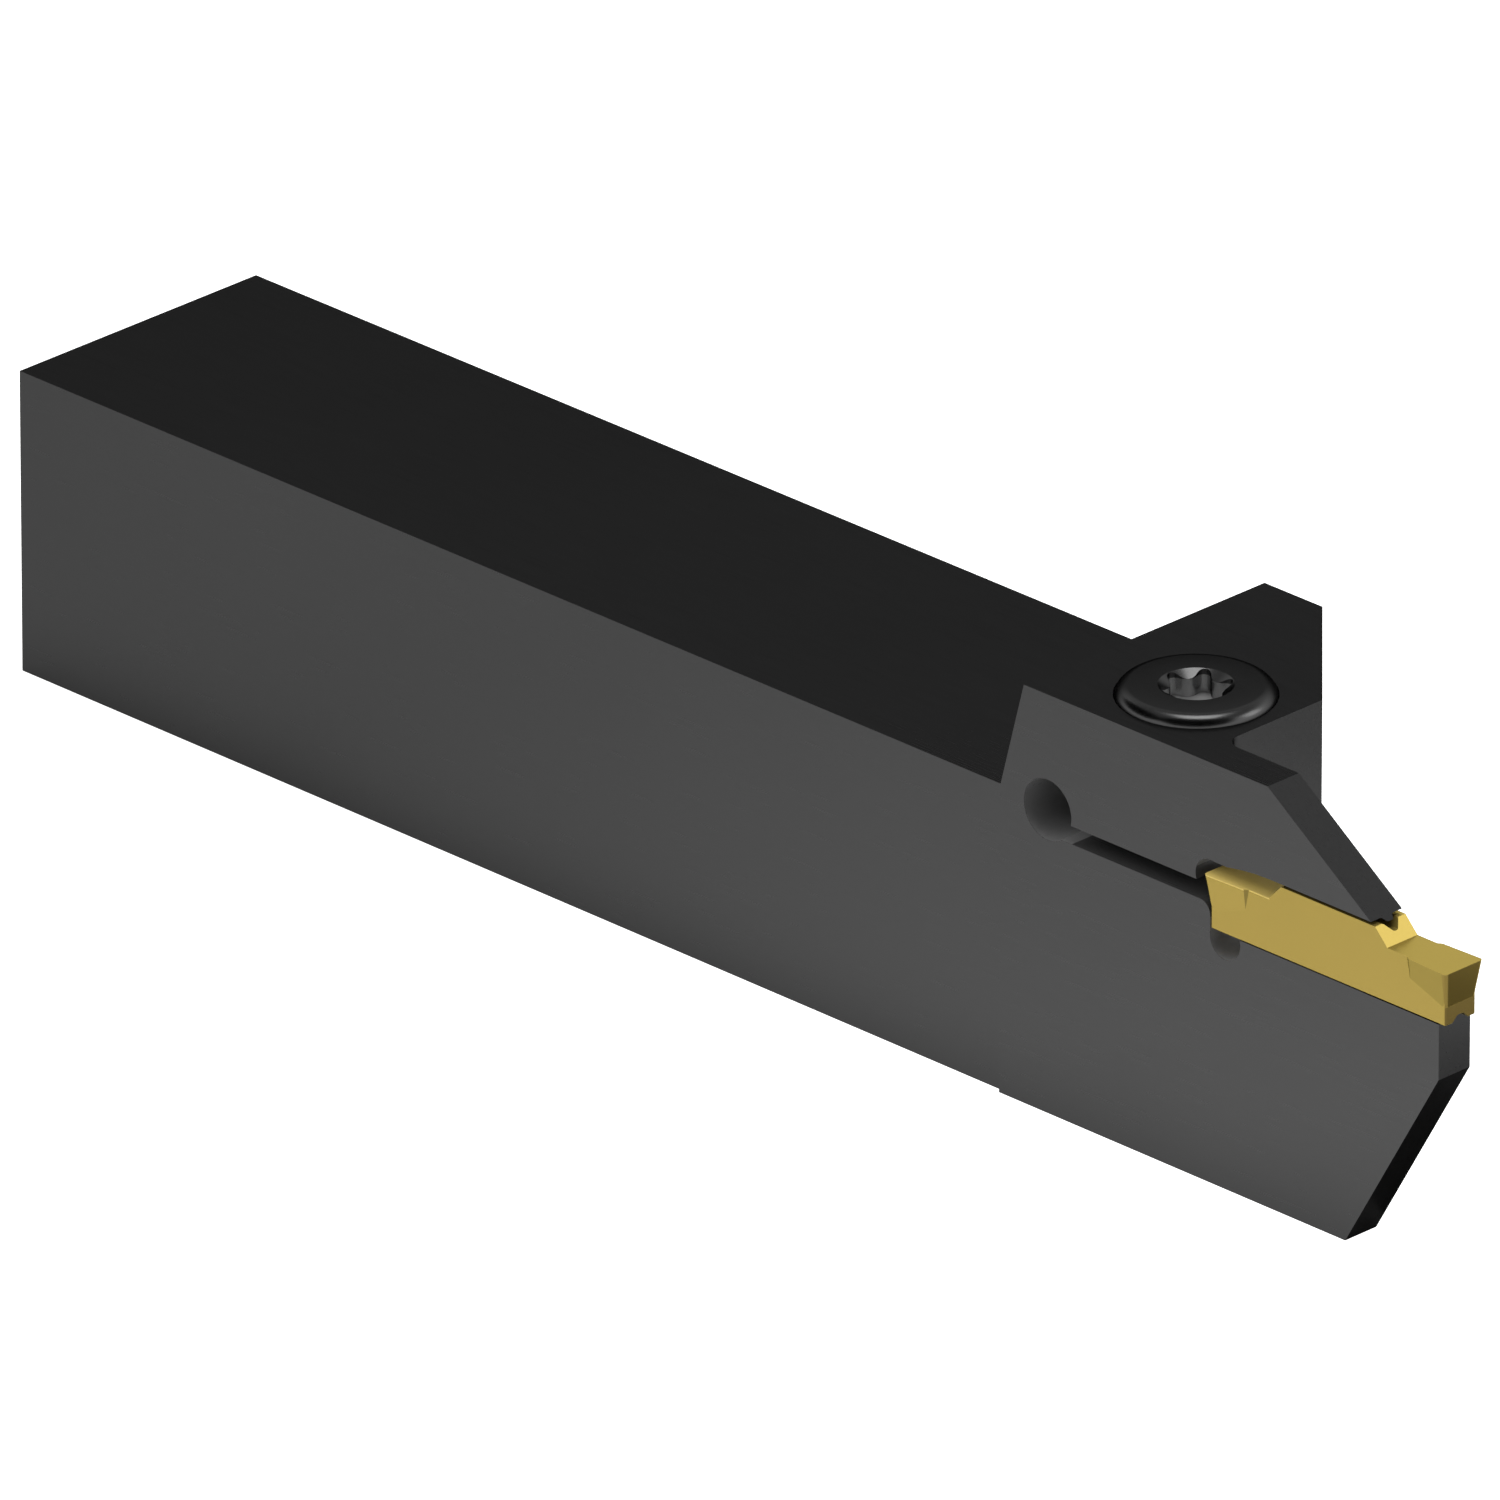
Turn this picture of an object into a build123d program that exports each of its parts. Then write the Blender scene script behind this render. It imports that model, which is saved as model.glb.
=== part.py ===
from build123d import *
import math
import os

# Grooving tool holder with its insert and clamp screw.
# Millimetres, +Z up, +X from the shank's rear end towards the cutting edge.
# The origin is the middle of the rear bottom edge of the shank, on its seat.
# The blade is flush with the near side, -Y.

# Shank: a plain square bar
shank_width = 25.0
shank_height = 25.0
shank_length = 104.7

# Head: the raised block behind the blade
head_overhang = 0.4         # near side of the head, proud of the shank
head_rise = 9.1             # top of the head above the shank
rear_lean = 15.0            # degrees, rear face of the head from upright
far_edge_length = 6.0       # top far edge, from the rear face to the corner cut
front_wall_offset = 19.85   # front wall of the block ahead of the shank
front_wall_reach = 13.65    # near side of the blade to the corner cut
root_fillet = 1.4           # between the front wall and the blade

# Blade
blade_thickness = 3.3
blade_land = 7.65           # level top of the blade ahead of the front wall
nose_angle = 35.0           # degrees, slope of the upper jaw below level
blade_reach = 25.25         # toe ahead of the front wall
toe_height = 4.5            # upright front face of the toe
toe_angle = 30.0            # degrees, underside of the toe from upright

# Insert: double ended, the same both ways round
insert_length = 24.7
insert_overhang = 0.95      # cutting edge ahead of the toe
cutting_width = 4.0         # between the sharp corners of the cutting edge
core_width = 3.2            # between the cutting ends
edge_height = 4.4           # cutting edge above the seat
insert_height = 5.7
land_length = 6.3           # from the cutting edge to the foot of the slope
slope_run = 1.25            # from the slope's foot to the insert's full height
front_relief = 7.3          # degrees, front flank from upright
front_facet = 1.5           # height of the upright facet below the front flank
side_relief = 7.5           # degrees, side flank from upright
side_taper = 2.5            # degrees, side flank closing towards the middle
side_length = 3.95          # side flank behind the cutting edge
side_ramp = 0.35            # run-out from the side flank to the core
corner_radius = 0.28        # upright corners of the cutting ends
core_corner_radius = 0.16   # upright corners of the core
bottom_round = 0.12         # lower edges of the core
groove_angle = 45.0         # degrees, flanks of the grooves and rails from level
groove_round = 0.25         # corners of the grooves and rails
seat_groove_width = 1.75
seat_groove_depth = 0.55
top_groove_width = 1.66
top_groove_depth = 0.62

# Seat of the insert between the jaws
seat_height = 20.7          # flat of the lower jaw above the shank's seat
rail_clearance = 0.03       # between a rail and the groove it fits
seat_rail_offset = 3.1      # rear end of the lower rail ahead of the back stop
seat_relief_radius = 1.55   # round relief under the insert's rear end
seat_relief_drop = 0.5      # centre of that relief below the insert's seat
jaw_gap = 0.27              # between the insert's top and the upper jaw
jaw_heel_drop = 0.46        # heel of the upper jaw below its flat
jaw_heel_offset = 6.2       # flat of the upper jaw ahead of the back stop
jaw_heel_curve = 22.5       # radius between the heel and the flat
tongue_width = 1.15         # shallow end of the upper rail, at the nose
tongue_drop = 0.28
tongue_length = 1.1

# Slot that lets the upper jaw flex
slot_height = 1.45
slot_rise = 2.07            # floor of the slot above the insert's seat
stop_round = 1.05           # from the slot's floor to the back stop
hinge_radius = 2.45
hinge_offset = 4.95         # centre of the hinge hole ahead of the shank
hinge_height = 24.75        # centre of the hinge hole above the shank's seat
pocket_radius = 1.52        # round relief above the slot's front end

# Clamp screw with a round head and a six-lobe socket
screw_offset = 12.55        # screw axis ahead of the shank
screw_inset = 7.42          # screw axis from the near side of the shank
screw_diameter = 6.0
screw_length = 20.0         # under the head
screw_tip = 0.6             # chamfer at the tip
screw_proud = 0.82          # top of the head above the holder
head_diameter = 12.2
head_height = 4.6
head_round = 1.05
lobe_count = 6
lobe_diameter = 5.6         # across the points of the socket
lobe_round = 0.55           # radius of each point of the socket
rib_diameter = 4.0          # across the ribs between the points
socket_depth = 1.95
socket_mouth_angle = 60.0   # degrees, conical mouth of the socket from upright
drill_angle = 59.0          # degrees, drilled bottom from upright

# Holes for the screw
counterbore_clearance = 0.05
jaw_hole_diameter = 6.6
thread_clearance = 0.05
thread_spare = 1.6          # hole below the screw's tip

# Places worked out from the sizes above
near_side = -shank_width / 2
far_side = shank_width / 2
head_near = near_side - head_overhang
head_top = shank_height + head_rise
head_rear = shank_length + head_rise * math.tan(math.radians(rear_lean))
wall_x = shank_length + front_wall_offset
toe_x = wall_x + blade_reach
blade_far = head_near + blade_thickness
blade_middle = head_near + blade_thickness / 2
edge_x = toe_x + insert_overhang
insert_x = edge_x - insert_length / 2
facet_setback = (edge_height - front_facet) * math.tan(math.radians(front_relief))
stop_x = edge_x - insert_length + facet_setback
insert_top = seat_height + insert_height
jaw_height = insert_top + jaw_gap
slot_floor = seat_height + slot_rise
slot_roof = slot_floor + slot_height
hinge_x = shank_length + hinge_offset
nose_x = wall_x + blade_land
nose_slope = math.tan(math.radians(nose_angle))
nose_end = nose_x + (head_top - jaw_height) / nose_slope
screw_x = shank_length + screw_offset
screw_y = near_side + screw_inset
head_seat = head_top + screw_proud - head_height
screw_end = head_seat - screw_length
front_limit = edge_x + insert_length    # ahead of everything


def side_face(points):
    """Face in the side view from (x, z) points."""
    return make_face(Polyline([(x, 0, z) for x, z in points], close=True))


def side_prism(face, start, end):
    """Solid of a side view face between two places across the width."""
    return extrude(Pos(0, start, 0) * face, amount=end - start, dir=(0, 1, 0))


def side_hole(x, z, radius):
    """Round face in the side view."""
    return Pos(x, 0, z) * Rot(90, 0, 0) * Circle(radius)


def rail_prism(width, depth, base, start, end):
    """Rail or groove along X with sloping flanks and rounded corners.

    It is width across at the height of its base and narrows over its depth,
    upwards from the base or, where the depth is negative, downwards.
    """
    narrow = width / 2 - abs(depth) / math.tan(math.radians(groove_angle))
    wide = width / 2 + groove_round
    root = base - math.copysign(groove_round, depth)
    section = make_face(Polyline([(start, y, z) for y, z in [
        (-wide, root),
        (-wide, base),
        (-width / 2, base),
        (-narrow, base + depth),
        (narrow, base + depth),
        (width / 2, base),
        (wide, base),
        (wide, root),
    ]], close=True))
    corners = section.vertices().sort_by_distance((start, 0, base))[:4]
    section = fillet(corners, groove_round)
    return extrude(section, amount=end - start, dir=(1, 0, 0))


def head_outline():
    """Side view of the head, the blade and the toe, before the slot."""
    toe_low = seat_height - toe_height
    toe_foot = toe_x - toe_low * math.tan(math.radians(toe_angle))
    nose_foot = nose_x + (head_top - seat_height) / nose_slope
    return side_face([
        (shank_length, 0),
        (toe_foot, 0),
        (toe_x, toe_low),
        (toe_x, seat_height),
        (nose_foot, seat_height),
        (nose_x, head_top),
        (head_rear, head_top),
        (shank_length, shank_height),
    ])


def mouth_outline():
    """Side view of the space between the jaws, open at the front."""
    flat_x = stop_x + jaw_heel_offset
    heel_height = jaw_height - jaw_heel_drop
    curve_centre = jaw_height - jaw_heel_curve
    heel_run = math.sqrt(jaw_heel_curve**2 - (heel_height - curve_centre) ** 2)
    middle_x = flat_x - heel_run / 2
    middle_height = curve_centre + math.sqrt(jaw_heel_curve**2 - (heel_run / 2) ** 2)
    curve = ThreePointArc(
        (flat_x - heel_run, 0, heel_height),
        (middle_x, 0, middle_height),
        (flat_x, 0, jaw_height),
    )
    edge = Polyline([(x, 0, z) for x, z in [
        (flat_x, jaw_height),
        (front_limit, jaw_height),
        (front_limit, seat_height),
        (stop_x, seat_height),
        (stop_x, heel_height),
        (flat_x - heel_run, heel_height),
    ]])
    return make_face([*edge.edges(), *curve.edges()])


def jaw_space():
    """Everything cut through the head across its width, in the side view."""
    slot = side_face([
        (hinge_x, slot_floor),
        (stop_x, slot_floor),
        (stop_x, slot_roof),
        (hinge_x, slot_roof),
    ])
    relief_x = stop_x + seat_relief_radius
    relief_z = seat_height - seat_relief_drop
    undercut = side_face([
        (stop_x, relief_z),
        (relief_x, relief_z),
        (relief_x, seat_height),
        (stop_x, seat_height),
    ])
    space = mouth_outline() + slot + undercut
    space += side_hole(hinge_x, hinge_height, hinge_radius)
    space += side_hole(stop_x, hinge_height, pocket_radius)
    space += side_hole(relief_x, relief_z, seat_relief_radius)
    return space


def head_plan():
    """Head and blade seen from above, with the far corner cut away."""
    plan = make_face(Polyline([
        (shank_length, head_near),
        (front_limit, head_near),
        (front_limit, blade_far),
        (wall_x, blade_far),
        (wall_x, head_near + front_wall_reach),
        (head_rear + far_edge_length, far_side),
        (shank_length, far_side),
    ], close=True))
    root = plan.vertices().sort_by_distance((wall_x, blade_far, 0))[0]
    return fillet(root, root_fillet)


def seat_rail():
    """Rail along the lower jaw that fits the insert's lower groove."""
    rail = rail_prism(
        seat_groove_width - 2 * rail_clearance,
        seat_groove_depth - rail_clearance,
        seat_height,
        stop_x + seat_rail_offset,
        toe_x,
    )
    return Pos(0, blade_middle, 0) * rail


def jaw_rail():
    """Rail under the upper jaw that fits the insert's upper groove.

    It runs over the insert's full height. Ahead of it a shallow tongue leads
    out to the nose.
    """
    rear = edge_x - insert_length + land_length + slope_run
    front = nose_end - tongue_length
    spread = 2 * (jaw_gap / math.tan(math.radians(groove_angle)) - rail_clearance)
    drop = jaw_gap + top_groove_depth - rail_clearance
    rail = rail_prism(top_groove_width + spread, -drop, jaw_height, rear, front)
    tip = nose_end + tongue_drop / nose_slope
    tongue = rail_prism(tongue_width, -tongue_drop, jaw_height, front, tip)
    nose = side_face([
        (front, jaw_height),
        (front, jaw_height - tongue_drop),
        (tip, jaw_height - tongue_drop),
        (nose_end, jaw_height),
    ])
    tongue &= side_prism(nose, -tongue_width, tongue_width)
    return Pos(0, blade_middle, 0) * (rail + tongue)


def screw_hole():
    """Counterbore, clearance hole and threaded hole on the screw's axis."""
    bore_radius = head_diameter / 2 + counterbore_clearance
    thread_radius = screw_diameter / 2 + thread_clearance
    thread_end = screw_end - thread_spare
    point = thread_radius / math.tan(math.radians(drill_angle))
    top = head_top + screw_proud
    profile = make_face(Polyline([
        (0, 0, thread_end - point),
        (thread_radius, 0, thread_end),
        (thread_radius, 0, slot_floor),
        (jaw_hole_diameter / 2, 0, slot_floor),
        (jaw_hole_diameter / 2, 0, head_seat),
        (bore_radius, 0, head_seat),
        (bore_radius, 0, top),
        (0, 0, top),
    ], close=True))
    return Pos(screw_x, screw_y, 0) * revolve(profile, Axis.Z)


def holder_body():
    """Shank, head, blade and both jaws: one piece of steel."""
    shank = Pos(shank_length / 2, 0, shank_height / 2) * Box(
        shank_length, shank_width, shank_height
    )
    profile = head_outline() - jaw_space()
    corner = profile.vertices().sort_by_distance((stop_x, 0, slot_floor))[0]
    profile = fillet(corner, stop_round)
    head = side_prism(profile, head_near, far_side)
    head &= extrude(head_plan(), amount=head_top)
    return shank + head + seat_rail() + jaw_rail() - screw_hole()


def socket_outline():
    """Six-lobe outline: round points joined by round ribs that touch them."""
    point_x = lobe_diameter / 2 - lobe_round
    inset = lobe_round - rib_diameter / 2
    half_step = math.pi / lobe_count
    rib_x = (point_x**2 - inset**2) / (2 * (inset + point_x * math.cos(half_step)))
    rib_round = rib_x - rib_diameter / 2
    share = lobe_round / (lobe_round + rib_round)
    touch_x = point_x + (rib_x * math.cos(half_step) - point_x) * share
    touch_y = rib_x * math.sin(half_step) * share
    reach = math.hypot(touch_x, touch_y)
    swing = math.degrees(math.atan2(touch_y, touch_x))
    step = 360 / lobe_count
    corners = []
    for lobe in range(lobe_count):
        for turn in (lobe * step - swing, lobe * step + swing):
            angle = math.radians(turn)
            corners.append((reach * math.cos(angle), reach * math.sin(angle)))
    outline = make_face(Polyline(corners, close=True))
    outline += PolarLocations(point_x, lobe_count) * Circle(lobe_round)
    outline -= PolarLocations(rib_x, lobe_count, start_angle=step / 2) * Circle(rib_round)
    return outline


def driver_socket(top):
    """Space of the six-lobe socket below the top of the screw's head."""
    mouth = lobe_diameter / 2
    mouth_depth = mouth / math.tan(math.radians(socket_mouth_angle))
    drill = rib_diameter / 2
    drill_depth = drill / math.tan(math.radians(drill_angle))
    space = extrude(Pos(0, 0, top) * socket_outline(), amount=socket_depth, dir=(0, 0, -1))
    space += Pos(0, 0, top - mouth_depth / 2) * Cone(0, mouth, mouth_depth)
    floor = top - socket_depth
    space += Pos(0, 0, floor - drill_depth / 2) * Cone(0, drill, drill_depth)
    return space


def clamp_screw():
    """Round head screw with a six-lobe socket, standing in its hole."""
    radius = head_diameter / 2
    top = head_seat + head_height
    thread = screw_diameter / 2
    profile = make_face(Polyline([
        (0, 0, top),
        (0, 0, screw_end),
        (thread - screw_tip, 0, screw_end),
        (thread, 0, screw_end + screw_tip),
        (thread, 0, head_seat),
        (radius, 0, head_seat),
        (radius, 0, top),
    ], close=True))
    screw = revolve(profile, Axis.Z)
    rim = screw.edges().group_by(Axis.Z)[-1]
    screw = fillet(rim, head_round)
    return Pos(screw_x, screw_y, 0) * (screw - driver_socket(top))


def insert_core():
    """Long block of the insert: level lands and slopes up to its full height."""
    end = insert_length / 2 - facet_setback
    foot = insert_length / 2 - land_length
    crown = foot - slope_run
    front = [(crown, insert_height), (foot, edge_height), (end, edge_height), (end, 0)]
    rear = [(-x, z) for x, z in reversed(front)]
    core = side_prism(side_face(front + rear), -core_width / 2, core_width / 2)
    core = fillet(core.edges().filter_by(Axis.Z), core_corner_radius)
    return fillet(core.edges().group_by(Axis.Z)[0], bottom_round)


def cutting_head():
    """Wide block behind one cutting edge, with relieved and tapered flanks."""
    front = insert_length / 2
    edge = cutting_width / 2
    rear = front - side_length
    narrow = edge - side_length * math.tan(math.radians(side_taper))
    foot = rear - side_ramp
    core = core_width / 2
    sections = []
    for height, setback in (
        (edge_height, 0),
        (front_facet, facet_setback),
        (bottom_round, facet_setback),
    ):
        inset = (edge_height - height) * math.tan(math.radians(side_relief))
        section = make_face(Polyline([(x, y, height) for x, y in [
            (front - setback, edge - inset),
            (rear, narrow - inset),
            (foot, core - inset),
            (foot, inset - core),
            (rear, inset - narrow),
            (front - setback, inset - edge),
        ]], close=True))
        corners = section.vertices().group_by(Axis.X)[-1]
        sections.append(fillet(corners, corner_radius).face())
    return loft(sections, ruled=True)


def grooving_insert():
    """Double ended carbide insert with a groove along its top and bottom."""
    half = insert_length / 2
    head = cutting_head()
    insert = insert_core() + head + Rot(0, 0, 180) * head
    insert -= rail_prism(seat_groove_width, seat_groove_depth, 0, -half, half)
    insert -= rail_prism(top_groove_width, -top_groove_depth, insert_height, -half, half)
    return Pos(insert_x, blade_middle, seat_height) * insert


if __name__ == "__main__":
    os.makedirs("parts", exist_ok=True)
    parts = {
        "holder_body": holder_body(),
        "clamp_screw": clamp_screw(),
        "grooving_insert": grooving_insert(),
    }
    for name, part in parts.items():
        export_step(part, f"parts/{name}.step")
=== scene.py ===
import logging
import math
from dataclasses import dataclass
from enum import Enum
from typing import Any, Callable, Sequence

import bmesh
import bpy
from mathutils import Matrix, Vector


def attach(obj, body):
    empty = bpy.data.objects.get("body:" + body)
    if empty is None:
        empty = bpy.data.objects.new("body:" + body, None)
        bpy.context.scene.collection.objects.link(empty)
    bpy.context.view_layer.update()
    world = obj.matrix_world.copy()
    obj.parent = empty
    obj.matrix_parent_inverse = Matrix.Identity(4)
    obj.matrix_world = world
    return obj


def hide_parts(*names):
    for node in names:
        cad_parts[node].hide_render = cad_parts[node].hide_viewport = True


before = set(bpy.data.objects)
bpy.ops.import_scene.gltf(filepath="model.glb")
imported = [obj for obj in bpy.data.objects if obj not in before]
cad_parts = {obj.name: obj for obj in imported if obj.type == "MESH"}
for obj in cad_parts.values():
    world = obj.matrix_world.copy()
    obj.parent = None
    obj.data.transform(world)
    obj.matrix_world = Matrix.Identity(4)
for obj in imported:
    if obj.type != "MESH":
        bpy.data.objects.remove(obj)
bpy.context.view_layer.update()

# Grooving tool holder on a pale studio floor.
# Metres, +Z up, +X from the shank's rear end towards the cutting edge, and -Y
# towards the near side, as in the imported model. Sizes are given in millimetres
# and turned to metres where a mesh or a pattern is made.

Point = tuple[float, float, float]
Box = tuple[Point, Point]

MM = 0.001
WELD_MM = 0.0005        # points closer than this become one
SAME_POINT_MM = 1e-5    # corners closer than this make no edge
WHITE = "#ffffff"

# The sRGB transfer curve: a straight toe, and above it a power curve.
SRGB_TOE = 0.04045
SRGB_TOE_SLOPE = 12.92
SRGB_OFFSET = 0.055
SRGB_POWER = 2.4

log = logging.getLogger("grooving_tool_holder")


# Helpers

def linear(code: str) -> tuple[float, float, float, float]:
    """Turns an sRGB hex colour into linear RGBA.

    Args:
        code: six hex digits with a leading hash.

    Returns:
        Linear red, green, blue and an alpha of 1.
    """
    channels = [int(code[i:i + 2], 16) / 255 for i in (1, 3, 5)]
    bright = [
        c / SRGB_TOE_SLOPE if c <= SRGB_TOE
        else ((c + SRGB_OFFSET) / (1 + SRGB_OFFSET)) ** SRGB_POWER
        for c in channels
    ]
    return (bright[0], bright[1], bright[2], 1.0)


def add_node(tree: bpy.types.NodeTree, kind: str,
             inputs: dict[str | int, Any] | None = None,
             **settings: Any) -> bpy.types.Node:
    """Adds one shader node with its settings, constants and links.

    Args:
        tree: the node tree that gets the node.
        kind: the node's type name.
        inputs: input name or index to a constant, or to the output socket
            that feeds it.
        **settings: properties of the node itself.

    Returns:
        The new node.
    """
    node = tree.nodes.new(kind)
    for name, value in settings.items():
        setattr(node, name, value)
    for name, value in (inputs or {}).items():
        if isinstance(value, bpy.types.NodeSocket):
            tree.links.new(value, node.inputs[name])
        else:
            node.inputs[name].default_value = value
    return node


def new_material(name: str) -> tuple[bpy.types.Material, bpy.types.NodeTree]:
    """Makes a material with an empty node tree.

    Args:
        name: the material's name.

    Returns:
        The material and its node tree.
    """
    material = bpy.data.materials.new(name)
    material.use_nodes = True
    material.node_tree.nodes.clear()
    return material, material.node_tree


def grain_scale(size_mm: float) -> float:
    """Returns the noise scale, per metre, whose cells are about size_mm wide."""
    return 1.0 / (size_mm * MM)


def outwards(azimuth: float, elevation: float) -> Vector:
    """Finds the direction from the tool to a lamp or to the camera.

    Args:
        azimuth: 0 towards -Y and 90 towards +X, in degrees.
        elevation: height above level, in degrees.

    Returns:
        A vector one unit long.
    """
    across, up = math.radians(azimuth), math.radians(elevation)
    return Vector((
        math.sin(across) * math.cos(up),
        -math.cos(across) * math.cos(up),
        math.sin(up),
    ))


def mesh_piece(name: str, build: Callable[[bmesh.types.BMesh], None],
               material: bpy.types.Material, crease: float = 30.0) -> bpy.types.Object:
    """Makes a mesh object from a function that fills a bmesh in millimetres.

    Args:
        name: the object's name.
        build: fills the bmesh.
        material: the object's only material.
        crease: angle in degrees from which an edge stays sharp.

    Returns:
        The object, linked to the scene.
    """
    work = bmesh.new()
    build(work)
    bmesh.ops.remove_doubles(work, verts=work.verts, dist=WELD_MM)
    bmesh.ops.recalc_face_normals(work, faces=work.faces)
    bmesh.ops.scale(work, vec=(MM, MM, MM), verts=work.verts)
    for face in work.faces:
        face.smooth = True
    for edge in work.edges:
        edge.smooth = edge.calc_face_angle(0.0) < math.radians(crease)
    mesh = bpy.data.meshes.new(name)
    work.to_mesh(mesh)
    work.free()
    mesh.materials.append(material)
    piece = bpy.data.objects.new(name, mesh)
    bpy.context.scene.collection.objects.link(piece)
    return piece


# Finishes

class Grain(Enum):
    """How a surface was made: the stretch of its fine marks along each axis."""

    GROUND_LENGTHWISE = (0.04, 1.0, 1.0)
    COLD_HEADED = (1.0, 1.0, 0.5)
    SINTERED = (1.0, 1.0, 1.0)


@dataclass(frozen=True)
class Patch:
    """Faces of a solid that get a colour and a share of metal of their own.

    They bring a face to the tone that the photograph shows, where the studio's
    light alone leaves it darker or lighter. They are no fact about the metal.

    Attributes:
        boxes: lowest and highest corner of each box that holds those faces,
            in millimetres.
        colour: sRGB hex colour of the faces.
        metallic: share of the faces that reflects as metal.
    """

    boxes: tuple[Box, ...]
    colour: str
    metallic: float

    def inside(self, tree: bpy.types.NodeTree, place: bpy.types.NodeSocket,
               box: Box) -> bpy.types.NodeSocket:
        """Adds nodes that give 1 inside one box and 0 outside it.

        Args:
            tree: the node tree that gets them.
            place: the socket with the point on the solid, in metres.
            box: lowest and highest corner of the box, in millimetres.

        Returns:
            The socket with that value.
        """
        low, high = box
        middle = tuple((a + b) / 2 * MM for a, b in zip(low, high))
        half = tuple((b - a) / 2 * MM for a, b in zip(low, high))
        vector, number = "ShaderNodeVectorMath", "ShaderNodeMath"
        offset = add_node(tree, vector, {0: place, 1: middle}, operation="SUBTRACT")
        share = add_node(
            tree, vector, {0: offset.outputs[0], 1: half}, operation="DIVIDE",
        )
        size = add_node(tree, vector, {0: share.outputs[0]}, operation="ABSOLUTE")
        parts = add_node(tree, "ShaderNodeSeparateXYZ", {0: size.outputs[0]})
        most = parts.outputs[0]
        for part in parts.outputs[1:]:
            most = add_node(
                tree, number, {0: most, 1: part}, operation="MAXIMUM",
            ).outputs[0]
        here = add_node(tree, number, {0: most, 1: 1.0}, operation="LESS_THAN")
        return here.outputs[0]

    def mask(self, tree: bpy.types.NodeTree,
             place: bpy.types.NodeSocket) -> bpy.types.NodeSocket:
        """Adds nodes that give 1 inside any of the boxes and 0 elsewhere.

        Args:
            tree: the node tree that gets them.
            place: the socket with the point on the solid, in metres.

        Returns:
            The socket with that value.
        """
        first, *others = (self.inside(tree, place, box) for box in self.boxes)
        for other in others:
            first = add_node(
                tree, "ShaderNodeMath", {0: first, 1: other}, operation="MAXIMUM",
            ).outputs[0]
        return first


@dataclass(frozen=True)
class MetalFinish:
    """A metal surface with a fine grain and a slow drift of tone.

    Attributes:
        name: the material's name.
        colour: sRGB hex colour seen face on.
        edge_colour: sRGB hex colour seen at a grazing angle.
        metallic: share of the surface that reflects as metal.
        roughness: middle roughness.
        roughness_spread: change of roughness over the grain.
        gloss: specular level of the share that is no metal.
        grain: how the surface was made.
        grain_mm: width of one mark or grain.
        drift_mm: width of the slow changes of tone.
        drift: share by which the tone changes.
        relief_mm: height of the grain.
        patches: faces with painted light or shade; a later one covers an
        earlier one.
        grain_detail: finer layers in the grain.
        grain_breakup: strength of those layers.
        grain_range: noise values that give the least and the most roughness.
        drift_detail: finer layers in the drift.
    """

    name: str
    colour: str
    edge_colour: str
    metallic: float
    roughness: float
    roughness_spread: float
    gloss: float
    grain: Grain
    grain_mm: float
    drift_mm: float
    drift: float
    relief_mm: float
    patches: tuple[Patch, ...] = ()
    grain_detail: float = 3.0
    grain_breakup: float = 0.55
    grain_range: tuple[float, float] = (0.3, 0.7)
    drift_detail: float = 2.0

    def tone(self, tree: bpy.types.NodeTree,
             place: bpy.types.NodeSocket) -> bpy.types.NodeSocket:
        """Adds the colour with its slow drift.

        Args:
            tree: the node tree that gets it.
            place: the socket with the point on the solid, in metres.

        Returns:
            The socket with the colour.
        """
        drift = add_node(
            tree, "ShaderNodeTexNoise",
            {"Vector": place, "Scale": grain_scale(self.drift_mm),
             "Detail": self.drift_detail},
        )
        base = linear(self.colour)[:3]
        dark = tuple(c * (1 - self.drift) for c in base) + (1.0,)
        light = tuple(c * (1 + self.drift) for c in base) + (1.0,)
        colour = add_node(
            tree, "ShaderNodeMix",
            {"Factor": drift.outputs["Fac"], "A": dark, "B": light}, data_type="RGBA",
        )
        return colour.outputs[2]

    def material(self) -> bpy.types.Material:
        """Builds the shader.

        Returns:
            The material that holds it.
        """
        material, tree = new_material(self.name)
        place = add_node(tree, "ShaderNodeTexCoord").outputs["Object"]
        stretched = add_node(
            tree, "ShaderNodeVectorMath", {0: place, 1: self.grain.value},
            operation="MULTIPLY",
        )
        grain = add_node(
            tree, "ShaderNodeTexNoise",
            {"Vector": stretched.outputs["Vector"], "Scale": grain_scale(self.grain_mm),
             "Detail": self.grain_detail, "Roughness": self.grain_breakup},
        )
        low, high = self.grain_range
        rough = add_node(
            tree, "ShaderNodeMapRange",
            {"Value": grain.outputs["Fac"], "From Min": low, "From Max": high,
             "To Min": self.roughness - self.roughness_spread,
             "To Max": self.roughness + self.roughness_spread},
        )
        relief = add_node(
            tree, "ShaderNodeBump",
            {"Height": grain.outputs["Fac"], "Strength": 1.0,
             "Distance": self.relief_mm * MM},
        )
        colour, metallic = self.tone(tree, place), self.metallic
        # Painted light and shade: each patch sets its faces' own colour and share of
        # metal.
        for patch in self.patches:
            mask = patch.mask(tree, place)
            colour = add_node(
                tree, "ShaderNodeMix",
                {"Factor": mask, "A": colour, "B": linear(patch.colour)},
                data_type="RGBA",
            ).outputs[2]
            metallic = add_node(
                tree, "ShaderNodeMix",
                {"Factor": mask, "A": metallic, "B": patch.metallic},
                data_type="FLOAT",
            ).outputs[0]
        surface = add_node(
            tree, "ShaderNodeBsdfPrincipled",
            {"Base Color": colour, "Metallic": metallic,
             "Roughness": rough.outputs["Result"], "Normal": relief.outputs["Normal"],
             "Specular Tint": linear(self.edge_colour),
             "Specular IOR Level": self.gloss},
        )
        add_node(
            tree, "ShaderNodeOutputMaterial", {"Surface": surface.outputs["BSDF"]},
        )
        return material


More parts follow.
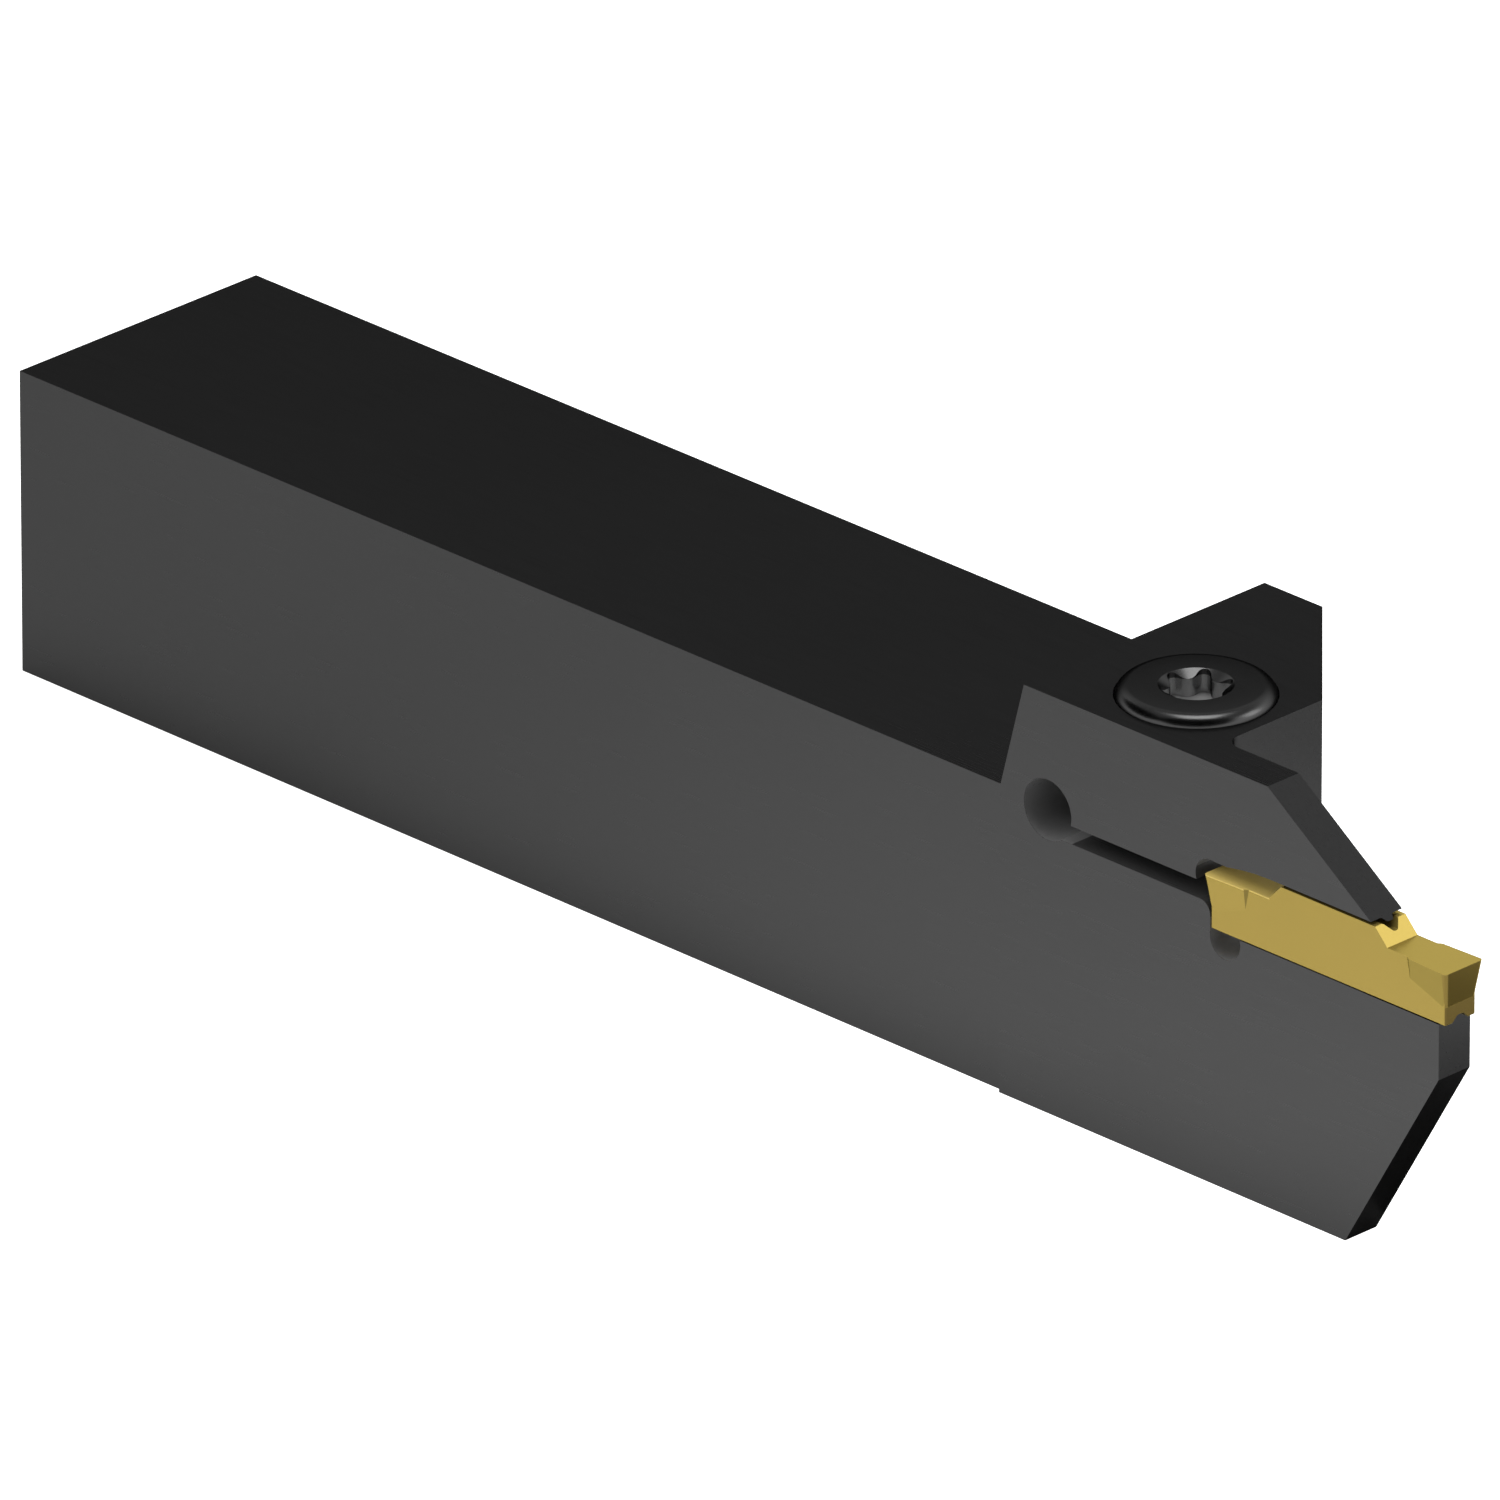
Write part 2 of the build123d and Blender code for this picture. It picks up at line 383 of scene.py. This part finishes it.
# Hardened tool steel, ground and then blackened: an even, dull charcoal whose
# faces turn nearly black where they are seen at a flat angle. Real grinding
# lines are finer, and are drawn this coarse so that they just show. The slot,
# seat and drilled holes lie in shade here but are lit in the photograph, so
# their faces are set as a plain grey without metal.
BLACKENED_STEEL = MetalFinish(
    name="blackened_tool_steel",
    colour="#505050",
    edge_colour="#060606",
    metallic=0.97,
    roughness=0.29,
    roughness_spread=0.02,
    gloss=0.2,
    grain=Grain.GROUND_LENGTHWISE,
    grain_mm=0.25,
    drift_mm=30.0,
    drift=0.03,
    relief_mm=0.00025,
    patches=(
        # Wire-cut clamping slot, and the insert's seat between the jaws: painted
        # light, a plain grey without metal that shows them lit in their shade.
        Patch(
            boxes=(
                ((111.0, -12.88, 22.72), (124.5, 12.45, 24.27)),
                ((124.4, -12.88, 18.5), (142.2, -9.62, 26.9)),
            ),
            colour="#404040",
            metallic=0.0,
        ),
        # Drilled hinge hole in two boxes, and the relief holes under and over
        # the insert's rear end: painted light, a paler plain grey without metal that
        # shows them lit in their shade.
        Patch(
            boxes=(
                ((107.0, -12.88, 22.0), (110.65, 12.45, 27.6)),
                ((110.6, -12.88, 22.0), (112.15, 11.2, 27.6)),
                ((123.5, -12.88, 18.5), (129.0, -9.62, 21.6)),
                ((124.4, -12.88, 25.3), (129.0, -9.62, 29.0)),
            ),
            colour="#727272",
            metallic=0.0,
        ),
    ),
)

# Cold-headed alloy steel under the same black finish: smoother, so its round
# edge carries bright and dark bands. Its socket lies in shade here but is lit in
# the photograph, so its walls are set as a paler metal, which gives them upright
# stripes, and its bottom as a plain grey without metal.
SCREW_STEEL = MetalFinish(
    name="blackened_screw_steel",
    colour="#555555",
    edge_colour="#101010",
    metallic=1.0,
    roughness=0.26,
    roughness_spread=0.01,
    gloss=0.2,
    grain=Grain.COLD_HEADED,
    grain_mm=0.3,
    drift_mm=4.0,
    drift=0.02,
    relief_mm=0.00006,
    patches=(
        # Bottom of the socket: painted light, a plain grey without metal that shows
        # it lit in its shade.
        Patch(
            boxes=(((114.3, -8.0, 30.5), (120.2, -2.1, 33.0)),),
            colour="#747474",
            metallic=0.0,
        ),
        # Walls of the socket below its conical mouth: painted light, a paler metal
        # that shows them lit in their shade.
        Patch(
            boxes=(((114.3, -8.0, 33.0), (120.2, -2.1, 34.43)),),
            colour="#b8b8b8",
            metallic=1.0,
        ),
    ),
)

# Sintered carbide with a thin vapour-deposited nitride coat: a satin, slightly
# greenish gold that follows every ground facet. Real carbide grains are far too
# fine to see, and are drawn this coarse so that they just break up the gloss.
# The coat is the same all over. The colours of single faces below are painted
# light and painted shade, which only bring them to the tones that the
# photograph shows.
COATED_CARBIDE = MetalFinish(
    name="nitride_coated_carbide",
    colour="#a6904a",
    edge_colour="#fff8b4",
    metallic=0.7,
    roughness=0.22,
    roughness_spread=0.02,
    gloss=0.2,
    grain=Grain.SINTERED,
    grain_mm=0.12,
    drift_mm=6.0,
    drift=0.02,
    relief_mm=0.00012,
    patches=(
        # Land of the rear cutting end, under the upper jaw: painted light, a pale
        # gold without metal that shows it lit in the jaw's shade.
        Patch(
            boxes=(((125.9, -13.4, 25.0), (132.4, -9.1, 25.2)),),
            colour="#e6cb72",
            metallic=0.0,
        ),
        # Slope behind the front land: painted light, a little lighter than the coat.
        Patch(
            boxes=(((143.1, -12.84, 25.12), (144.6, -9.66, 26.45)),),
            colour="#ae984e",
            metallic=0.7,
        ),
        # Near flank of the front cutting end: painted shade, darker than the coat.
        Patch(
            boxes=(((146.82, -13.4, 20.75), (150.4, -12.86, 25.08)),),
            colour="#938040",
            metallic=0.7,
        ),
        # Front flank, below the cutting edge: painted shade, darker than the coat.
        Patch(
            boxes=(((150.3, -13.4, 22.21), (150.8, -9.1, 25.06)),),
            colour="#8a763c",
            metallic=0.7,
        ),
        # Ramps from the body out to the rear end's side flanks: painted shade, darker
        # than the coat.
        Patch(
            boxes=(
                ((129.98, -13.4, 23.2), (130.37, -12.86, 25.08)),
                ((129.98, -9.64, 23.2), (130.37, -9.1, 25.08)),
            ),
            colour="#80703a",
            metallic=0.7,
        ),
        # Facet under the front flank: painted shade, darker than the coat.
        Patch(
            boxes=(((150.3, -13.4, 20.6), (150.8, -9.1, 22.19)),),
            colour="#736133",
            metallic=0.7,
        ),
        # Ramps from the body out to the front end's side flanks: painted shade, nearly
        # black.
        Patch(
            boxes=(
                ((146.43, -13.4, 23.2), (146.82, -12.86, 25.08)),
                ((146.43, -9.64, 23.2), (146.82, -9.1, 25.08)),
            ),
            colour="#2a220c",
            metallic=0.7,
        ),
    ),
)


# Pieces

@dataclass
class CadPiece:
    """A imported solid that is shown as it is, with a finish.

    Attributes:
        node: the solid's name.
        finish: its finish.
    """

    node: str
    finish: MetalFinish

    def build(self) -> bpy.types.Object:
        """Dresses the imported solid.

        Returns:
            The solid's object.
        """
        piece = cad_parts[self.node]
        piece.data.materials.clear()
        piece.data.materials.append(self.finish.material())
        return piece


@dataclass
class ClampScrew:
    """Round head screw with a six-lobe socket and a cut thread.

    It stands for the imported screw, whose thread is a plain cylinder. Sizes are
    in millimetres.

    Attributes:
        node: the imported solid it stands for.
        axis_x: screw axis along the shank.
        axis_y: screw axis across the shank.
        top: top of the head above the seat.
        head_radius: radius of the head.
        head_height: height of the head.
        head_round: radius of the head's upper edge.
        round_steps: steps in the head's upper edge.
        lobes: number of points of the socket.
        lobe_reach: radius to the points of the socket.
        lobe_round: radius of each point.
        rib_reach: radius to the ribs between the points.
        socket_depth: depth of the socket's walls.
        mouth_angle: conical mouth of the socket from upright, in degrees.
        mouth_lip: how far the mouth runs out past the points.
        drill_angle: drilled bottom of the socket from upright, in degrees.
        drill_inset: how far inside the ribs the drilled bottom starts.
        thread_radius: outside radius of the thread.
        pitch: height of one turn of the thread.
        thread_depth: depth of the thread, in pitches.
        crest: width of the thread's crest, in pitches.
        flank: width of each of the thread's flanks, in pitches.
        length: length under the head.
        tip: chamfer at the tip.
        root: how far the shank runs into the head.
        spare_turns: turns made past each end of the thread and then cut off.
        segments: segments around the screw, a multiple of twice the lobes.
        crease: angle in degrees from which an edge stays sharp.
        finish: its finish.
    """

    node: str
    axis_x: float
    axis_y: float
    top: float
    head_radius: float = 6.1
    head_height: float = 4.6
    head_round: float = 1.05
    round_steps: int = 14
    lobes: int = 6
    lobe_reach: float = 2.8
    lobe_round: float = 0.55
    rib_reach: float = 2.0
    socket_depth: float = 1.95
    mouth_angle: float = 60.0
    mouth_lip: float = 0.05
    drill_angle: float = 59.0
    drill_inset: float = 0.01
    thread_radius: float = 3.0
    pitch: float = 1.0
    thread_depth: float = 0.6134
    crest: float = 0.125
    flank: float = 0.3125
    length: float = 20.0
    tip: float = 0.6
    root: float = 0.3
    spare_turns: int = 2
    segments: int = 144
    crease: float = 25.0
    finish: MetalFinish = SCREW_STEEL

    def turns(self) -> list[float]:
        """Returns the directions of the segments around the axis, in radians."""
        return [math.tau * i / self.segments for i in range(self.segments)]

    def socket_radius(self, angle: float) -> float:
        """Finds the six-lobe outline of the socket.

        Args:
            angle: direction from the screw's axis, in radians.

        Returns:
            Radius of the socket's wall in that direction.
        """
        step = math.tau / self.lobes
        turn = abs((angle + step / 2) % step - step / 2)
        centre = self.lobe_reach - self.lobe_round
        inset = self.lobe_round - self.rib_reach
        rib_x = (centre**2 - inset**2) / (2 * (inset + centre * math.cos(step / 2)))
        rib_round = rib_x - self.rib_reach
        share = self.lobe_round / (self.lobe_round + rib_round)
        touch_x = centre + (rib_x * math.cos(step / 2) - centre) * share
        touch_y = rib_x * math.sin(step / 2) * share
        if turn <= math.atan2(touch_y, touch_x):
            reach = self.lobe_round**2 - (centre * math.sin(turn)) ** 2
            return centre * math.cos(turn) + math.sqrt(max(reach, 0.0))
        turn = step / 2 - turn
        reach = rib_round**2 - (rib_x * math.sin(turn)) ** 2
        return rib_x * math.cos(turn) - math.sqrt(max(reach, 0.0))

    def head_profile(self) -> list[tuple[float, float]]:
        """Lays out the head from its underside over its edge to the mouth.

        Returns:
            Radius and height of each ring of points.
        """
        low = self.top - self.head_height
        profile = [
            (0.0, low),
            (self.head_radius, low),
            (self.head_radius, self.top - self.head_round),
        ]
        for i in range(1, self.round_steps + 1):
            swing = math.pi / 2 * i / self.round_steps
            profile.append((
                self.head_radius - self.head_round * (1 - math.cos(swing)),
                self.top - self.head_round * (1 - math.sin(swing)),
            ))
        profile.append((self.lobe_reach + self.mouth_lip, self.top))
        return profile

    def head_rings(self) -> list[list[Point]]:
        """Lays out the head and its socket from the underside inwards.

        Returns:
            One list of points for each ring, all with the same number of points.
        """
        turns = self.turns()
        floor = self.top - self.socket_depth
        mouth = math.tan(math.radians(self.mouth_angle))
        mouth_reach = self.lobe_reach + self.mouth_lip
        walls = [self.socket_radius(a) for a in turns]
        rims = [self.top - (mouth_reach - wall) / mouth for wall in walls]
        rings = [
            [(r * math.cos(a), r * math.sin(a), z) for a in turns]
            for r, z in self.head_profile()
        ]
        for heights in (rims, [floor] * self.segments):
            rings.append([
                (wall * math.cos(a), wall * math.sin(a), z)
                for a, wall, z in zip(turns, walls, heights)
            ])
        bottom = self.rib_reach - self.drill_inset
        drill = self.rib_reach / math.tan(math.radians(self.drill_angle))
        rings.append([(bottom * math.cos(a), bottom * math.sin(a), floor) for a in turns])
        rings.append([(0.0, 0.0, floor - drill)] * self.segments)
        return rings

    def thread_ends(self) -> tuple[float, float]:
        """Returns the height of the tip and of the shank's end inside the head."""
        seat = self.top - self.head_height
        return seat - self.length, seat + self.root

    def thread_corners(self) -> tuple[float, ...]:
        """Returns the corners of one turn of the thread, in pitches upwards."""
        crest_end = self.crest / 2
        root_start = crest_end + self.flank
        return crest_end, root_start, 1.0 - root_start, 1.0 - crest_end

    def thread_point(self, angle: float, z: float) -> Point:
        """Finds the thread's surface at one direction and height.

        Args:
            angle: direction from the axis, in radians.
            z: height, kept between the tip and a little way into the head.

        Returns:
            The point on the thread's surface.
        """
        low, high = self.thread_ends()
        z = min(max(z, low), high)
        phase = ((z - low) / self.pitch - angle / math.tau) % 1.0
        away = min(phase, 1.0 - phase)
        rise = min(max((away - self.crest / 2) / self.flank, 0.0), 1.0)
        radius = self.thread_radius - self.thread_depth * self.pitch * rise
        radius = min(radius, self.thread_radius - self.tip + (z - low))
        return (radius * math.cos(angle), radius * math.sin(angle), z)

    def fill_head(self, work: bmesh.types.BMesh) -> None:
        """Adds the head and its socket as one closed skin.

        Args:
            work: the bmesh, in millimetres about the screw's axis.
        """
        verts = [[work.verts.new(p) for p in ring] for ring in self.head_rings()]
        for lower, upper in zip(verts, verts[1:]):
            for i in range(self.segments):
                j = (i + 1) % self.segments
                work.faces.new((lower[i], lower[j], upper[j], upper[i]))

    def fill_thread(self, work: bmesh.types.BMesh) -> None:
        """Adds the threaded shank as one closed skin.

        Each column of points follows the thread, so the last column meets the
        first one a whole turn higher.

        Args:
            work: the bmesh, in millimetres about the screw's axis.
        """
        corners = self.thread_corners()
        low, high = self.thread_ends()
        rows = (int((high - low) / self.pitch) + 2 * self.spare_turns) * len(corners)
        turns = self.turns()
        columns = []
        for angle in turns:
            heights = [
                low + self.pitch * (row // len(corners) - self.spare_turns
                                    + corners[row % len(corners)] + angle / math.tau)
                for row in range(rows)
            ]
            columns.append([work.verts.new(self.thread_point(angle, z)) for z in heights])
        for i, near in enumerate(columns):
            far = columns[(i + 1) % self.segments]
            shift = len(corners) if i == self.segments - 1 else 0
            for row in range(rows - 1 - shift):
                around = (near[row], far[row + shift], far[row + shift + 1], near[row + 1])
                self.add_face(work, around)
        for end in (low, high):
            centre = work.verts.new((0.0, 0.0, end))
            ring = [work.verts.new(self.thread_point(angle, end)) for angle in turns]
            for i in range(self.segments):
                work.faces.new((ring[(i + 1) % self.segments], ring[i], centre))

    @staticmethod
    def add_face(work: bmesh.types.BMesh, around: Sequence[bmesh.types.BMVert]) -> None:
        """Adds a face, without the corners that lie on each other.

        Args:
            work: the bmesh that gets the face.
            around: the face's corners in order.
        """
        kept: list[bmesh.types.BMVert] = []
        for v in around:
            if all((v.co - other.co).length > SAME_POINT_MM for other in kept):
                kept.append(v)
        if len(kept) > 2:
            work.faces.new(kept)

    def fill(self, work: bmesh.types.BMesh) -> None:
        """Fills a bmesh with the head and the threaded shank.

        Args:
            work: the empty bmesh, in millimetres.
        """
        self.fill_head(work)
        self.fill_thread(work)
        loose = [v for v in work.verts if not v.link_faces]
        bmesh.ops.delete(work, geom=loose, context="VERTS")
        bmesh.ops.translate(work, vec=(self.axis_x, self.axis_y, 0.0), verts=work.verts)

    def build(self) -> bpy.types.Object:
        """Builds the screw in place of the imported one.

        Returns:
            The screw's object.
        """
        piece = mesh_piece(
            "clamp_screw_threaded", self.fill, self.finish.material(), self.crease,
        )
        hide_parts(self.node)
        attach(piece, "root")
        return piece


# Studio

@dataclass(frozen=True)
class SoftBox:
    """A square lamp that looks at the tool.

    Attributes:
        name: the lamp's name.
        azimuth: direction from the tool, 0 towards -Y and 90 towards +X, in degrees.
        elevation: height above level, in degrees.
        distance: metres from the tool.
        side: side of the lamp in metres.
        brightness: how bright its face is, where 1 is white.
        mirrored: whether glossy surfaces mirror it.
    """

    name: str
    azimuth: float
    elevation: float
    distance: float
    side: float
    brightness: float
    mirrored: bool = True

    def build(self, target: Vector) -> bpy.types.Object:
        """Builds the lamp.

        Args:
            target: the point that it looks at, in metres.

        Returns:
            The lamp's object.
        """
        away = outwards(self.azimuth, self.elevation)
        light = bpy.data.lights.new(self.name, "AREA")
        light.shape = "SQUARE"
        light.size = self.side
        light.energy = self.brightness * math.pi * self.side**2
        lamp = bpy.data.objects.new(self.name, light)
        lamp.location = target + away * self.distance
        lamp.rotation_euler = away.to_track_quat("Z", "Y").to_euler()
        lamp.visible_camera = False
        lamp.visible_glossy = self.mirrored
        bpy.context.scene.collection.objects.link(lamp)
        return lamp


@dataclass(frozen=True)
class BlackCard:
    """A level oval card of matt black paper that only the tool's metal mirrors, as a
    painted dark reflection.

    Attributes:
        middle: the card's middle in millimetres.
        half_x: half its length along X in millimetres.
        half_y: half its width along Y in millimetres.
        colour: sRGB hex colour of the paper.
        corners: corners of its outline.
    """

    middle: Point
    half_x: float
    half_y: float
    colour: str = "#050505"
    corners: int = 32

    def fill(self, work: bmesh.types.BMesh) -> None:
        """Fills a bmesh with one level oval.

        Args:
            work: the empty bmesh, in millimetres.
        """
        x, y, z = self.middle
        work.faces.new([
            work.verts.new((
                x + self.half_x * math.cos(a), y + self.half_y * math.sin(a), z,
            ))
            for a in (math.tau * i / self.corners for i in range(self.corners))
        ])

    def build(self) -> bpy.types.Object:
        """Hangs the card.

        Returns:
            The card's object.
        """
        material, tree = new_material("matt_black_card")
        black = add_node(tree, "ShaderNodeBsdfDiffuse", {"Color": linear(self.colour)})
        add_node(tree, "ShaderNodeOutputMaterial", {"Surface": black.outputs[0]})
        card = mesh_piece("black_card", self.fill, material)
        card.visible_camera = card.visible_diffuse = card.visible_shadow = False
        return card


@dataclass
class Studio:
    """Pale floor, soft lamps, black cards, white surroundings and the camera.

    Attributes:
        azimuth: camera's direction from the tool, 0 towards -Y and 90 towards +X.
        elevation: camera's height above level, in degrees.
        distance: metres from the camera to the point it turns about.
        turning_point: that point in millimetres.
        aim_right: how far the view is moved to the right, in millimetres.
        aim_up: how far the view is moved up, in millimetres.
        focal_pixels: focal length in pixels of the photograph.
        photo_pixels: width of the photograph in pixels.
        sensor_mm: width of the camera's sensor.
        clip: nearest and furthest metres that the camera sees.
        floor_side: side of the floor in metres.
        floor_drop: how far the floor lies under the seat, in millimetres.
        floor_colour: sRGB hex colour of the floor.
        floor_glow: brightness added to the floor where the camera sees it, so
            strong that it hides the tool's shadow.
        pool_place: middle of a painted pool of light on the floor, in millimetres,
            which the metal mirrors. The camera sees it as plain white.
        pool_radius: radius at which that pool has faded out, in millimetres.
        pool_glow: brightness of the pool at its middle.
        ambient: brightness of the surroundings for plain light.
        ceiling: brightness of the surroundings overhead, where they are seen.
        fade: heights between which they fall from white to that brightness,
            from 0 straight down to 1 straight up.
        lit_point: point that the lamps look at, in millimetres.
        lamps: the soft lamps.
        cards: the black cards, which give painted dark reflections in the metal.
    """

    azimuth: float = 45.009
    elevation: float = 24.994
    distance: float = 2.6692
    turning_point: Point = (75.0, 0.0, 12.5)
    aim_right: float = -6.571
    aim_up: float = 1.303
    focal_pixels: float = 35720.6
    photo_pixels: int = 1500
    sensor_mm: float = 36.0
    clip: tuple[float, float] = (0.1, 100.0)
    floor_side: float = 40.0
    floor_drop: float = 0.02
    floor_colour: str = "#e6e6e6"
    floor_glow: float = 0.78
    pool_place: Point = (126.0, -26.0, 0.0)
    pool_radius: float = 102.0
    pool_glow: float = 0.52
    ambient: float = 0.3
    ceiling: float = 0.25
    fade: tuple[float, float] = (0.53, 0.755)
    lit_point: Point = (140.0, -10.0, 20.0)
    lamps: Sequence[SoftBox] = (
        SoftBox("key_softbox", -35.0, 40.0, 0.5, 0.45, 2.0, mirrored=False),
        SoftBox("top_softbox", -135.0, 82.0, 0.4, 0.27, 2.7, mirrored=False),
        SoftBox("rim_softbox", -135.0, 82.0, 0.36, 0.17, 3.8),
        SoftBox("far_softbox", 138.0, 33.0, 0.6, 0.25, 2.0),
    )
    # The cards are seen only in the metal, as painted dark reflections: the three on the
    # floor darken the floor by the insert's tip and under the toe where the metal mirrors
    # it, and the two overhead darken the screw's rim.
    cards: Sequence[BlackCard] = (
        BlackCard((171.0, 13.0, 0.05), 8.0, 8.0),
        BlackCard((147.0, -4.0, 0.05), 9.0, 6.0),
        BlackCard((174.0, 50.0, 0.05), 9.0, 9.0),
        BlackCard((160.0, -48.0, 60.0), 50.0, 50.0),
        BlackCard((74.0, -44.0, 60.0), 38.0, 36.0),
    )

    def camera(self) -> bpy.types.Object:
        """Builds the camera at the photograph's viewpoint.

        Returns:
            The camera's object.
        """
        back = outwards(self.azimuth, self.elevation)
        across = math.radians(self.azimuth)
        right = Vector((math.cos(across), math.sin(across), 0.0))
        above = back.cross(right)
        data = bpy.data.cameras.new("camera")
        data.sensor_width = self.sensor_mm
        data.lens = self.focal_pixels / self.photo_pixels * data.sensor_width
        data.clip_start, data.clip_end = self.clip
        camera = bpy.data.objects.new("camera", data)
        camera.location = (
            Vector(self.turning_point) * MM
            + right * self.aim_right * MM
            + above * self.aim_up * MM
            + back * self.distance
        )
        turn = Matrix((right, above, back)).transposed()
        camera.rotation_euler = turn.to_euler()
        bpy.context.scene.collection.objects.link(camera)
        bpy.context.scene.camera = camera
        return camera

    def seen(self, tree: bpy.types.NodeTree) -> bpy.types.NodeSocket:
        """Adds nodes that give 1 where the studio is seen and 0 where it lights.

        Args:
            tree: the node tree that gets them.

        Returns:
            The socket with that value.
        """
        path = add_node(tree, "ShaderNodeLightPath")
        seen = path.outputs["Is Camera Ray"]
        for ray in ("Is Glossy Ray", "Is Transmission Ray"):
            seen = add_node(
                tree, "ShaderNodeMath", {0: seen, 1: path.outputs[ray]},
                operation="MAXIMUM",
            ).outputs[0]
        return seen

    def world(self) -> None:
        """Makes the surroundings, white at the sides and dimmer overhead where they
        are seen, and dim all round where they light."""
        world = bpy.data.worlds.new("studio")
        world.use_nodes = True
        tree = world.node_tree
        tree.nodes.clear()
        place = add_node(tree, "ShaderNodeTexCoord")
        height = add_node(tree, "ShaderNodeSeparateXYZ", {0: place.outputs["Generated"]})
        low, high = self.fade
        wall = add_node(
            tree, "ShaderNodeMapRange",
            {"Value": height.outputs["Z"], "From Min": low, "From Max": high,
             "To Min": 1.0, "To Max": self.ceiling},
        )
        strength = add_node(
            tree, "ShaderNodeMapRange",
            {"Value": self.seen(tree), "To Min": self.ambient,
             "To Max": wall.outputs["Result"]},
        )
        background = add_node(
            tree, "ShaderNodeBackground",
            {"Color": linear(WHITE), "Strength": strength.outputs["Result"]},
        )
        add_node(tree, "ShaderNodeOutputWorld", {"Surface": background.outputs[0]})
        world.cycles.sampling_method = "NONE"
        bpy.context.scene.world = world

    def floor_paint(self) -> bpy.types.Material:
        """Makes the floor's matt paint, its glow for the camera and a painted pool of
        light that the metal mirrors.

        Returns:
            The floor's material.
        """
        material, tree = new_material("matt_white_floor")
        paint = add_node(
            tree, "ShaderNodeBsdfDiffuse", {"Color": linear(self.floor_colour)},
        )
        path = add_node(tree, "ShaderNodeLightPath")
        place = add_node(tree, "ShaderNodeTexCoord")
        away = add_node(
            tree, "ShaderNodeVectorMath",
            {0: place.outputs["Object"], 1: tuple(c * MM for c in self.pool_place)},
            operation="DISTANCE",
        )
        # Painted pool of light: the floor glows brighter round pool_place.
        pool = add_node(
            tree, "ShaderNodeMapRange",
            {"Value": away.outputs["Value"], "From Max": self.pool_radius * MM,
             "To Min": self.pool_glow, "To Max": 0.0},
        )
        mirrored = add_node(
            tree, "ShaderNodeMath", {0: self.seen(tree), 1: pool.outputs["Result"]},
            operation="MULTIPLY",
        )
        strength = add_node(
            tree, "ShaderNodeMath",
            {0: path.outputs["Is Camera Ray"], 1: self.floor_glow,
             2: mirrored.outputs[0]},
            operation="MULTIPLY_ADD",
        )
        glow = add_node(
            tree, "ShaderNodeEmission",
            {"Color": linear(WHITE), "Strength": strength.outputs[0]},
        )
        both = add_node(
            tree, "ShaderNodeAddShader", {0: paint.outputs[0], 1: glow.outputs[0]},
        )
        add_node(tree, "ShaderNodeOutputMaterial", {"Surface": both.outputs[0]})
        material.cycles.emission_sampling = "NONE"
        return material

    def fill_floor(self, work: bmesh.types.BMesh) -> None:
        """Fills a bmesh with one square just under the tool's seat.

        Args:
            work: the empty bmesh, in millimetres.
        """
        half = self.floor_side / 2 / MM
        corners = ((-half, -half), (half, -half), (half, half), (-half, half))
        work.faces.new([work.verts.new((x, y, -self.floor_drop)) for x, y in corners])

    def floor(self) -> bpy.types.Object:
        """Makes the pale floor, whose glow hides the tool's shadow, and returns it."""
        floor = mesh_piece("studio_floor", self.fill_floor, self.floor_paint())
        return floor

    def build(self) -> list[bpy.types.Object]:
        """Builds the studio.

        Returns:
            The camera, the floor, the cards and the lamps.
        """
        target = Vector(self.lit_point) * MM
        made = [self.camera(), self.floor()]
        made += [card.build() for card in self.cards]
        made += [lamp.build(target) for lamp in self.lamps]
        self.world()
        return made


def main() -> None:
    """Builds the studio and the tool's three pieces, and reports each."""
    logging.basicConfig(level=logging.INFO, format="%(message)s")
    bpy.context.scene.view_settings.view_transform = "Standard"
    for made in Studio().build():
        log.info("studio: %s", made.name)
    pieces = (
        CadPiece("holder_body", BLACKENED_STEEL),
        CadPiece("grooving_insert", COATED_CARBIDE),
        ClampScrew("clamp_screw", axis_x=117.25, axis_y=-5.08, top=34.92),
    )
    for piece in pieces:
        made = piece.build()
        log.info("%s: %d faces", made.name, len(made.data.polygons))


if __name__ == "__main__":
    main()
